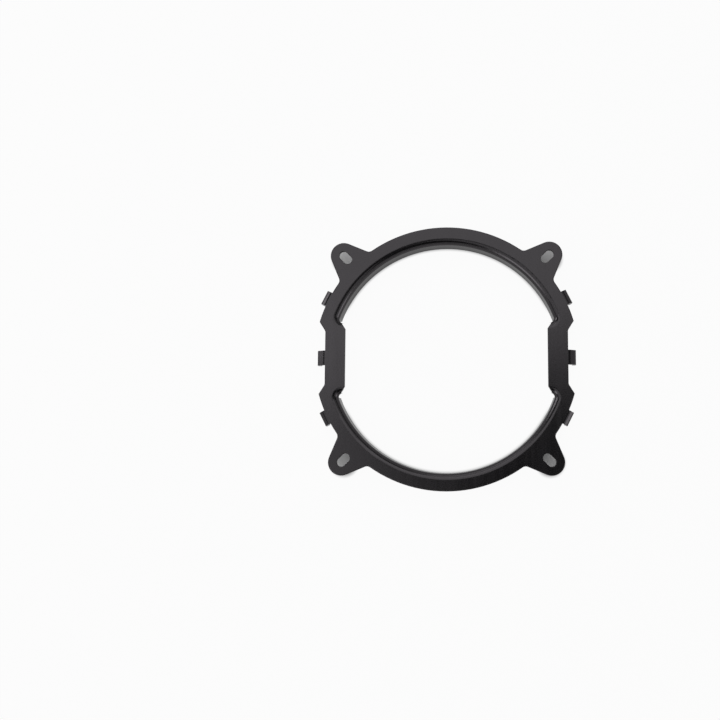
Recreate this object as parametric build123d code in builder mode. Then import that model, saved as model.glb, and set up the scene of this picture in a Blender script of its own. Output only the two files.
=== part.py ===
from build123d import *
import os
from math import asin, degrees, radians, sqrt, tan

# Round bracket that clamps a cooler head onto a processor socket.
# It is one sheet of steel, stamped flat, with a collar drawn down round its
# hole and six lugs folded down at its outer edge. The origin is on the collar's
# axis, in the plane of the collar's lower rim, and the flat face looks up (+Z).
# All sizes are in millimetres and degrees.

# Sheet and overall height
sheet = 1.2
total_height = 8.6
edge_break = 0.25

# Drawn collar and the flat ring outside it
collar_radius = 41.6
collar_bend_inside = 1.0
rim_break = 0.2
face_width = 4.0

# Flat ledges across the two sides of the hole, with the collar turned in to them
ledge_depth = 5.0
ledge_half_length = 10.5
ledge_side_run = 0.75
nose_cut_depth = 1.5
wall_end_round = 0.6

# Straight cuts in the outer edge beside the ledges
side_cut_depth = 3.95
side_cut_half_length = 9.7
side_cut_slope = 58.0
side_root_round = 1.5
side_shoulder_round = 1.2

# Ears with radial slots, for screws on a square of either spacing
hole_spacing_small = 72.0
hole_spacing_large = 75.0
slot_width = 3.2
ear_wall = 3.15
ear_root_width = 17.9
ear_root_round = 2.0

# Side lugs, folded out and down from the outer edge
lug_width = 5.3
lug_slope = 34.0
lug_drop = 5.2
lug_bend_inside = 0.4
lug_lead = 0.2
lug_end_round = 0.5
side_lug_reach = 3.0
corner_lug_reach = 2.1
corner_lug_angle = 26.6
lug_root_overlap = 1.5

# Worked out from the sizes above
collar_bend_outside = collar_bend_inside + sheet
bend_start_radius = collar_radius + collar_bend_outside
bend_centre_z = total_height - collar_bend_outside
ring_outer_radius = bend_start_radius + face_width
plate_underside = total_height - sheet

ledge_x = collar_radius - ledge_depth
side_flat_x = ring_outer_radius - side_cut_depth
nose_y = ledge_half_length + collar_bend_outside

# The pocket beside a ledge is the arc that touches the ring's bend line and,
# after the straight run of its side, the ledge. The collar's wall ends in it.
pocket_x = ledge_x + ledge_side_run
pocket_room = bend_start_radius**2 - pocket_x**2 - ledge_half_length**2
pocket_round = pocket_room / (2 * (bend_start_radius + ledge_half_length))
pocket_y = ledge_half_length + pocket_round
pocket_angle = degrees(asin(pocket_y / (bend_start_radius - pocket_round)))

slot_travel = (hole_spacing_large - hole_spacing_small) / sqrt(2)
slot_centre_radius = (hole_spacing_large + hole_spacing_small) / 2 / sqrt(2)
ear_end_distance = hole_spacing_large / sqrt(2)
ear_end_radius = slot_width / 2 + ear_wall


# Ear outline, pointing along +X: the hull of its round end and its root chord
with BuildSketch() as ear:
    with Locations((ear_end_distance, 0)):
        Circle(ear_end_radius)
    with BuildLine():
        Line((bend_start_radius, -ear_root_width / 2), (bend_start_radius, ear_root_width / 2))
    make_hull()

# Straight cut in the outer edge on the +X side, with sloped ends
side_cut_outer_length = side_cut_half_length + 2 * side_cut_depth * tan(radians(side_cut_slope))
with BuildSketch() as side_cut:
    with BuildLine():
        Polyline(
            (side_flat_x, 0),
            (side_flat_x, side_cut_half_length),
            (side_flat_x + 2 * side_cut_depth, side_cut_outer_length),
            (side_flat_x + 2 * side_cut_depth, 0),
        )
        mirror(about=Plane.XZ)
    make_face()

# Hole in the flat sheet, along the line where the collar's bend starts: round,
# with a straight ledge left standing on each side and a rounded pocket beside it
with BuildSketch() as hole:
    Circle(bend_start_radius)
    with PolarLocations(ledge_x, 2):
        Rectangle(
            ring_outer_radius,
            2 * ledge_half_length,
            align=(Align.MIN, Align.CENTER),
            mode=Mode.SUBTRACT,
        )
    fillet(hole.vertices().group_by(SortBy.DISTANCE)[-1], pocket_round)

# Flat blank: ring, ears, side cuts, hole and screw slots
with BuildSketch(Plane.XY.offset(plate_underside)) as blank:
    Circle(ring_outer_radius)
    with PolarLocations(0, 4, start_angle=45):
        add(ear.sketch)
    fillet(blank.vertices().group_by(SortBy.DISTANCE)[0], ear_root_round)
    with PolarLocations(0, 2):
        add(side_cut.sketch, mode=Mode.SUBTRACT)
    cut_corners = blank.vertices(Select.LAST).group_by(SortBy.DISTANCE)
    fillet(cut_corners[0], side_root_round)
    fillet(cut_corners[-1], side_shoulder_round)
    add(hole.sketch, mode=Mode.SUBTRACT)
    with PolarLocations(slot_centre_radius, 4, start_angle=45):
        SlotCenterToCenter(slot_travel, slot_width, mode=Mode.SUBTRACT)


def collar_section(plane):
    """Section of the drawn collar: the bend out of the flat sheet, then the wall.

    The plane's origin is under the line where the bend starts, and its X
    direction points into the hole.
    """
    bend_centre = (0, bend_centre_z)
    with BuildSketch(plane) as section:
        with BuildLine():
            upper_bend = CenterArc(bend_centre, collar_bend_outside, 0, 90)
            lower_bend = CenterArc(bend_centre, collar_bend_inside, 0, 90)
            Line(upper_bend @ 1, lower_bend @ 1)
            Polyline(upper_bend @ 0, (collar_bend_outside, 0), (collar_bend_inside, 0), lower_bend @ 0)
        make_face()
        chamfer(section.vertices().group_by(Axis.Y)[0], rim_break)
    return section.sketch


# Collar, drawn in one quarter from the Y axis to a ledge and mirrored twice:
# the round arc, the turn in the pocket and the short run to the ledge's nose
outward = Vector(1, 0, 0).rotate(Axis.Z, pocket_angle)
along = Vector(0, 1, 0).rotate(Axis.Z, pocket_angle)
arc_end = Plane(outward * bend_start_radius, x_dir=-outward, z_dir=along)
run_start = Plane((pocket_x, ledge_half_length, 0), x_dir=(0, 1, 0), z_dir=(1, 0, 0))
with BuildPart() as collar:
    revolve(collar_section(arc_end), axis=Axis.Z, revolution_arc=90 - pocket_angle)
    pocket_axis = Axis((pocket_x, pocket_y, 0), (0, 0, -1))
    revolve(collar_section(arc_end), axis=pocket_axis, revolution_arc=90 + pocket_angle)
    extrude(collar_section(run_start), amount=ledge_x - pocket_x)
    mirror(about=Plane.YZ)
    mirror(about=Plane.XZ)
    with BuildSketch(Plane.YZ) as wall_gap:
        Rectangle(2 * pocket_y, bend_centre_z, align=(Align.CENTER, Align.MIN))
        fillet(wall_gap.vertices().group_by(Axis.Y)[-1], wall_end_round)
    extrude(amount=ring_outer_radius, both=True, mode=Mode.SUBTRACT)


def folded_lug(root_x, reach):
    """Lug on the +X side: flat over the ring, then sloping down, then an upright lip."""
    middle_z = total_height - sheet / 2
    slope_x = root_x + lug_lead
    lip_x = root_x + reach - sheet / 2
    with BuildPart() as lug:
        with BuildSketch(Plane.XZ):
            with BuildLine():
                FilletPolyline(
                    (root_x - lug_root_overlap, middle_z),
                    (slope_x, middle_z),
                    (lip_x, middle_z - (lip_x - slope_x) * tan(radians(lug_slope))),
                    (lip_x, total_height - lug_drop),
                    radius=lug_bend_inside + sheet / 2,
                )
            trace(line_width=sheet)
        extrude(amount=lug_width / 2, both=True)
        fillet(lug.edges().filter_by(Axis.X).group_by(Axis.Z)[0], lug_end_round)
    return lug.part


side_lug = folded_lug(side_flat_x, side_lug_reach)
corner_lug = folded_lug(ring_outer_radius, corner_lug_reach)

# The finished bracket
with BuildPart() as mounting_ring:
    add(collar.part)
    extrude(blank.sketch, amount=sheet)
    with BuildSketch():
        with BuildLine():
            nose_corner = (ledge_x, ledge_half_length)
            Polyline(nose_corner, (ledge_x + nose_cut_depth, nose_y), (ledge_x, nose_y), close=True)
        make_face()
        mirror(about=Plane.XZ)
        mirror(about=Plane.YZ)
    extrude(amount=total_height, mode=Mode.SUBTRACT)
    flat_face = mounting_ring.faces().sort_by(Axis.Z)[-1]
    chamfer(flat_face.outer_wire().edges(), edge_break)
    with PolarLocations(0, 2):
        add(side_lug)
    for turn in (corner_lug_angle, -corner_lug_angle):
        with PolarLocations(0, 2, start_angle=turn):
            add(corner_lug)

mounting_ring.part.label = "mounting_ring"
os.makedirs("parts", exist_ok=True)
export_step(mounting_ring.part, "parts/mounting_ring.step")
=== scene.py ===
# %% [markdown]
# # A black plated cooler bracket
#
# This lesson dresses one stamped steel bracket for a picture. The shape comes
# finished from the CAD model, so the work here is the camera, the studio and
# above all the finish: a satin black plating, seen mostly by what it reflects.

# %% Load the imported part
import math

import bpy
import numpy as np
from mathutils import Matrix, Vector


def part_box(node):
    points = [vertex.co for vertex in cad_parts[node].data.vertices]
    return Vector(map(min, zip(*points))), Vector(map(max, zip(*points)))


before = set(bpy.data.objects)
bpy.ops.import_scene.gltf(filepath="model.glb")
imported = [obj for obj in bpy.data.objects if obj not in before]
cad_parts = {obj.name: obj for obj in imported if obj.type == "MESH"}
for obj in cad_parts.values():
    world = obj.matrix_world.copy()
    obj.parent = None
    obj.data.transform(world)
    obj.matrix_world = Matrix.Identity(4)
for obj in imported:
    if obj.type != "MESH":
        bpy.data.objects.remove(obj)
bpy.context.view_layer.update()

MM = 0.001
bracket_low, bracket_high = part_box("mounting_ring")
flat_face_z = bracket_high.z
print("bracket, mm:", [round(side / MM, 1) for side in bracket_high - bracket_low])

# %% [markdown]
# ## The camera
#
# The picture looks almost straight down on the bracket. Two small tilts and a
# distance say where the camera stands, measured from the middle of the flat
# face. The picture shows the bracket right of the middle, so the lens is
# shifted sideways: a shift moves the image without bending its perspective,
# which turning the camera would do.

# %% Camera above the flat face
IMAGE_SIDE = 720
SENSOR_WIDTH = 36.0
bracket_pixel = (446.1, 357.35)
pixels_per_mm = 2.7784
camera_distance = 308 * MM
tilt_to_front = math.radians(5.76)
tilt_to_right = math.radians(1.75)

face_middle = Vector((0, 0, flat_face_z))
towards_camera = Vector((math.tan(tilt_to_right), -math.tan(tilt_to_front), 1)).normalized()
camera_right = Vector((0, 1, 0)).cross(towards_camera).normalized()
camera_up = towards_camera.cross(camera_right)

camera = bpy.data.objects.new("camera", bpy.data.cameras.new("camera"))
camera.matrix_world = Matrix((camera_right, camera_up, towards_camera)).transposed().to_4x4()
camera.location = face_middle + camera_distance * towards_camera
camera.data.sensor_width = SENSOR_WIDTH
camera.data.lens = pixels_per_mm * camera_distance / MM / IMAGE_SIDE * SENSOR_WIDTH
camera.data.shift_x = (IMAGE_SIDE / 2 - bracket_pixel[0]) / IMAGE_SIDE
camera.data.shift_y = (bracket_pixel[1] - IMAGE_SIDE / 2) / IMAGE_SIDE
bpy.context.scene.collection.objects.link(camera)
bpy.context.scene.camera = camera
bpy.context.scene.view_settings.view_transform = "Standard"
print("lens, mm:", round(camera.data.lens, 2), "shift:", round(camera.data.shift_x, 4))

# %% [markdown]
# ## Shader sums
#
# A finish is built from masks that are added, multiplied and mixed. Adding each
# Math node by hand hides the idea, so one small class wraps a socket and lets
# Python's own operators add the nodes. Its one other method makes any node:
# first its settings, then the values or links of its sockets.


# %% A socket that can do sums
class Wire:
    """One socket in a node tree. Sums of wires and numbers add Math nodes."""

    def __init__(self, tree, socket=None):
        self.tree = tree
        self.socket = socket

    def node(self, kind, settings=None, sockets=None, output=0):
        """Add a node of this kind and return the named output as a wire."""
        made = self.tree.nodes.new(kind)
        for name, value in (settings or {}).items():
            setattr(made, name, value)
        for name, value in (sockets or {}).items():
            if isinstance(value, Wire):
                self.tree.links.new(value.socket, made.inputs[name])
            else:
                made.inputs[name].default_value = value
        return Wire(self.tree, made.outputs[output] if len(made.outputs) else None)

    def sum(self, operation, first, second):
        """One Math node with this operation on two wires or numbers."""
        return self.node("ShaderNodeMath", {"operation": operation}, {0: first, 1: second})

    def __add__(self, other):
        return self.sum("ADD", self, other)

    def __radd__(self, other):
        return self.sum("ADD", other, self)

    def __sub__(self, other):
        return self.sum("SUBTRACT", self, other)

    def __rsub__(self, other):
        return self.sum("SUBTRACT", other, self)

    def __mul__(self, other):
        return self.sum("MULTIPLY", self, other)

    def __rmul__(self, other):
        return self.sum("MULTIPLY", other, self)

    def smooth(self, start, end):
        """0 below start, 1 above end, and a soft S-shaped step between them."""
        limits = {"Value": self, "From Min": start, "From Max": end}
        return self.node("ShaderNodeMapRange", {"interpolation_type": "SMOOTHSTEP"}, limits)


def empty_tree(owner):
    """Clear the node tree of a material or world and return a wire to start from."""
    owner.use_nodes = True
    owner.node_tree.nodes.clear()
    return Wire(owner.node_tree)


print("sums that a wire can do: add, subtract, multiply and a smooth step")

# %% [markdown]
# ## The paper
#
# The bracket lies on a sheet of pale paper that rises softly on every side, as a
# sweep does in a studio. A flat square would do for the picture from above, but a
# low view would look over its edge into the dark. The sweep is one profile turned
# about the middle: flat, then a quarter round, then upright.

# %% Profile of the paper sweep, in metres
disc_radius, band_radius, flat_radius = 0.5, 1.5, 3.0
sweep_round = 0.6
sweep_height = 1.1
quarter_points = 13

quarter = np.linspace(0, np.pi / 2, quarter_points)
curve_radius = flat_radius + sweep_round * np.sin(quarter)
curve_height = sweep_round * (1 - np.cos(quarter))
profile_radius = np.concatenate([[disc_radius, band_radius], curve_radius, curve_radius[-1:]])
profile_height = np.concatenate([[0, 0], curve_height, [sweep_height]])
print("profile points:", len(profile_radius), "outer radius:", profile_radius.max())

# %% [markdown]
# Turning the profile gives a grid of points, one row for each turn. The corners
# of every face come from the grid's own numbers: a point, the next one in its
# row, and the same two in the row beside it. The last row meets the first, which
# closes the seam, and one round face closes the middle.


# %% Turn the profile into a sheet
def turned_points(count):
    """Points of the profile turned about Z, with one row of points for each turn.

    A point lies at (radius times cosine, radius times sine, height) of its turn.
    """
    turn = np.linspace(0, 2 * np.pi, count, endpoint=False)[:, None]
    x = profile_radius * np.cos(turn)
    y = profile_radius * np.sin(turn)
    z = np.broadcast_to(profile_height, x.shape)
    return np.stack([x, y, z], axis=-1).reshape(-1, 3)


def turned_faces(count):
    """Corner numbers of the four-sided faces between each row and the next."""
    row_length = len(profile_radius)
    row = np.arange(count)[:, None]
    here = row * row_length + np.arange(row_length - 1)
    beside = (row + 1) % count * row_length + np.arange(row_length - 1)
    return np.stack([here, here + 1, beside + 1, beside], axis=-1).reshape(-1, 4)


turn_count = 96
middle_disc = np.arange(turn_count) * len(profile_radius)
sheet_faces = [middle_disc.tolist()] + turned_faces(turn_count).tolist()

paper_mesh = bpy.data.meshes.new("paper")
paper_mesh.from_pydata(turned_points(turn_count).tolist(), [], sheet_faces)
paper_mesh.polygons.foreach_set("use_smooth", np.ones(len(paper_mesh.polygons), dtype=bool))
paper = bpy.data.objects.new("paper", paper_mesh)
bpy.context.scene.collection.objects.link(paper)
print("paper faces:", len(paper_mesh.polygons))

# %% [markdown]
# ## White that stays white
#
# Pale paper that is only lit never comes out quite white. So most of it glows
# at strength 1, which is white, for rays from the camera and for rays that come
# by way of a shiny or clear surface, so that the metal mirrors the same paper.
# The rest is plain lit paper, and that share carries the bracket's soft shadow.
#
# A glow would also fill the dark space under the bracket, where no open paper is. There it is left
# off, and that is painted shade: the mid-grey paper under the flange and the ears shows the light
# that really reaches it, so its grey is partly real shadow and partly the paper's own darker grey
# put where shade falls. The flange is a band of radius, without its two open sides. The ears are one
# spot: the absolute value of a point folds all four onto each other.

# %% Where the paper is open, and where shade is painted under the bracket
flange_inner, flange_outer = 42.5 * MM, 46.0 * MM
flange_start_y = 16.0 * MM
flange_fade = 2.0 * MM
flange_end_fade = 6.0 * MM
ear_middle = (37.75 * MM, 37.75 * MM, 0)
ear_inner, ear_outer = 3.8 * MM, 6.2 * MM

paper_finish = bpy.data.materials.new("pale_paper")
start = empty_tree(paper_finish)
place = start.node("ShaderNodeTexCoord", output="Object")
folded = start.node("ShaderNodeVectorMath", {"operation": "ABSOLUTE"}, {0: place})
folded_y = start.node("ShaderNodeSeparateXYZ", {}, {"Vector": folded}, output="Y")
radius = start.node("ShaderNodeVectorMath", {"operation": "LENGTH"}, {0: place}, output="Value")
to_ear = start.node(
    "ShaderNodeVectorMath", {"operation": "DISTANCE"}, {0: folded, 1: ear_middle}, output="Value"
)
inside_rim = 1 - radius.smooth(flange_outer, flange_outer + flange_fade)
outside_collar = radius.smooth(flange_inner - flange_fade, flange_inner)
beside_opening = folded_y.smooth(flange_start_y, flange_start_y + flange_end_fade)
# painted shade: this mask is 0 under the flange and the ears, where the glow is left off and the
# grey paper stands in for shade
paper_outside_painted_shade = to_ear.smooth(ear_inner, ear_outer) * (1 - inside_rim * outside_collar * beside_opening)
print("mask nodes:", len(paper_finish.node_tree.nodes))

# %% Glow on the open paper, left off where shade is painted
paper_glow_share = 0.95
# the paper's own grey, seen mostly under the bracket, where it makes part of the painted shade
paper_grey_and_painted_shade = (0.50, 0.50, 0.50, 1)
white = (1, 1, 1, 1)

seen = start.node("ShaderNodeLightPath", output="Is Camera Ray")
mirrored = start.node("ShaderNodeLightPath", output="Is Glossy Ray")
through = start.node("ShaderNodeLightPath", output="Is Transmission Ray")
# the glow is cut where the mask paints shade under the bracket
glow_share = (seen + mirrored + through) * paper_glow_share * paper_outside_painted_shade
lit = start.node("ShaderNodeBsdfDiffuse", {}, {"Color": paper_grey_and_painted_shade})
glow = start.node("ShaderNodeEmission", {}, {"Color": white, "Strength": 1.0})
mixed = start.node("ShaderNodeMixShader", {}, {"Fac": glow_share, 1: lit, 2: glow})
start.node("ShaderNodeOutputMaterial", {}, {"Surface": mixed})
paper_mesh.materials.append(paper_finish)
print("glowing share of the open paper:", paper_glow_share)

# %% [markdown]
# ## The studio
#
# One large lamp overhead would light the bracket, but a satin black surface shows
# its lamps more than its colour and would come out as one even grey. So each lamp
# is placed for the stretch of bracket that mirrors it: the key for the upper half
# of the ring, the low ones for the bends and the sloping lugs. Large square lamps
# give soft edges. A lamp is set by its direction from the bracket and by how
# bright its panel looks, and the watts follow from that and from its area.

# %% A soft lamp
LAMP_DISTANCE = 0.9


def soft_lamp(name, azimuth, elevation, side, brightness):
    """Add a square lamp that faces the bracket, and return its light on the paper.

    Watts are pi times area times brightness. The light on the paper is brightness
    times area over squared distance times the sine of the elevation, over pi.
    """
    turn, rise = math.radians(azimuth), math.radians(elevation)
    level = math.cos(rise)
    direction = Vector((level * math.cos(turn), level * math.sin(turn), math.sin(rise)))
    panel = bpy.data.lights.new(name, "AREA")
    panel.shape = "SQUARE"
    panel.size = side
    panel.energy = math.pi * side * side * brightness
    lamp = bpy.data.objects.new(name, panel)
    lamp.rotation_euler = direction.to_track_quat("Z", "Y").to_euler()
    lamp.location = face_middle + LAMP_DISTANCE * direction
    lamp.visible_camera = False
    bpy.context.scene.collection.objects.link(lamp)
    return brightness * (side / LAMP_DISTANCE) ** 2 * math.sin(rise) / math.pi


print("lamp distance, m:", LAMP_DISTANCE)

# %% [markdown]
# Added up on the paper, the lamps and a little light from the air all round give
# a plain level of about 1, at which a colour renders about as it is written. The
# sum is printed, so that a change to one lamp can be made good at another.

# %% Lamps and air
lamp_places = {
    # name: azimuth and elevation in degrees, side in metres, brightness
    "key_lamp": (98, 63, 0.75, 1.45),
    "back_lamp": (108, 25, 0.80, 1.0),
    "left_lamp": (210, 58, 0.80, 1.0),
    "lower_left_lamp": (224, 27, 0.45, 3.0),
    "low_left_lamp": (160, 13, 0.36, 4.8),
    "right_lamp": (335, 40, 0.55, 0.8),
    "right_back_lamp": (45, 48, 0.50, 0.6),
    "low_right_lamp": (343, 13, 0.40, 2.4),
}
air_colour = (0.95, 0.97, 1.0, 1)
air_strength = 0.08

paper_level = air_strength + sum(soft_lamp(name, *place) for name, place in lamp_places.items())
studio = bpy.data.worlds.new("studio")
bpy.context.scene.world = studio
start = empty_tree(studio)
air = start.node("ShaderNodeBackground", {}, {"Color": air_colour, "Strength": air_strength})
start.node("ShaderNodeOutputWorld", {}, {"Surface": air})
print("lamps:", len(lamp_places), "light on the paper, 1 is plain:", round(paper_level, 2))

# %% [markdown]
# ## The plating
#
# The steel carries a thin satin black plating. It could be made as black paint
# under a clear gloss, but such a gloss turns white wherever it is seen at a
# slant, and the plating stays dark there. So it is a dark metal: the colour is
# what it mirrors when seen straight on, and the tint holds back what it mirrors
# at a slant. The film has a fine grain, a slower ripple and slightly uneven gloss,
# with faint streaks along the direction in which the sheet was rolled. Every
# pattern reads Object coordinates, so it stays fixed to the metal in every view.

# %% Patterns in the film
grain_size = 0.32 * MM
ripple_size = 1.1 * MM
cloud_size = 14 * MM
streak_width = 1.3 * MM
along_rolling = (1, 0.04, 1)

plating = bpy.data.materials.new("satin_black_plating")
start = empty_tree(plating)
place = start.node("ShaderNodeTexCoord", output="Object")


def noise(at, size, detail):
    """A noise pattern about one size across, read at these coordinates."""
    return start.node("ShaderNodeTexNoise", {}, {"Vector": at, "Scale": 1 / size, "Detail": detail})


grain = noise(place, grain_size, 3.0)
ripple = noise(place, ripple_size, 1.0)
cloud = noise(place, cloud_size, 2.0)
rolled = start.node("ShaderNodeVectorMath", {"operation": "MULTIPLY"}, {0: place, 1: along_rolling})
streak = noise(rolled, streak_width, 2.0)
print("pattern sizes, mm:", [round(size / MM, 2) for size in (grain_size, ripple_size, cloud_size)])

# %% [markdown]
# No real edge is perfectly sharp, and the plating lies thinner on one, so it is a
# little greyer there. A bevel on the mesh would change the CAD shape. The Bevel
# node only bends the shading normal near an edge, and where that normal leaves
# the face's own one, there is the edge mask.

# %% Edges
edge_round = 0.22 * MM
edge_bend = (0.02, 0.30)
worn_grain = (0.35, 0.70)
worn_share = 0.8

rounded = start.node("ShaderNodeBevel", {"samples": 8}, {"Radius": edge_round})
flat = start.node("ShaderNodeNewGeometry", output="True Normal")
agreement = start.node(
    "ShaderNodeVectorMath", {"operation": "DOT_PRODUCT"}, {0: rounded, 1: flat}, output="Value"
)
edge = (1 - agreement).smooth(*edge_bend)
thin_film = edge * grain.smooth(*worn_grain) * worn_share
print("edge round, mm:", round(edge_round / MM, 2))

# %% [markdown]
# The patterns now meet in the shader. Colour goes from black to the greyer worn
# film by the edge mask. Gloss varies a little with grain, clouds and streaks, and
# a very low bump of grain and ripple breaks up the reflections.

# %% Plated steel
film_black = (0.0425, 0.0400, 0.0425, 1)
film_worn = (0.085, 0.082, 0.083, 1)
film_slant_tint = (0.58, 0.58, 0.58, 1)
film_roughness = 0.22
grain_gloss, cloud_gloss, streak_gloss, edge_gloss = 0.12, 0.08, 0.10, 0.05
grain_height, ripple_height = 0.35, 0.65
bump_strength = 0.15
bump_depth = 0.05 * MM

colour = start.node(
    "ShaderNodeMix",
    {"data_type": "RGBA"},
    {"Factor": thin_film, "A": film_black, "B": film_worn},
    output="Result",
)
uneven = (grain - 0.5) * grain_gloss + (cloud - 0.5) * cloud_gloss + (streak - 0.5) * streak_gloss
roughness = film_roughness + uneven - edge * edge_gloss
height = grain * grain_height + ripple * ripple_height
bump = start.node(
    "ShaderNodeBump",
    {},
    {"Height": height, "Strength": bump_strength, "Distance": bump_depth, "Normal": rounded},
)
film = start.node(
    "ShaderNodeBsdfPrincipled",
    {},
    {
        "Base Color": colour,
        "Roughness": roughness,
        "Normal": bump,
        "Metallic": 1.0,
        "Specular Tint": film_slant_tint,
    },
)
start.node("ShaderNodeOutputMaterial", {}, {"Surface": film})

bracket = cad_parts["mounting_ring"]
bracket.material_slots[0].material = plating
print("plating nodes:", len(plating.node_tree.nodes))
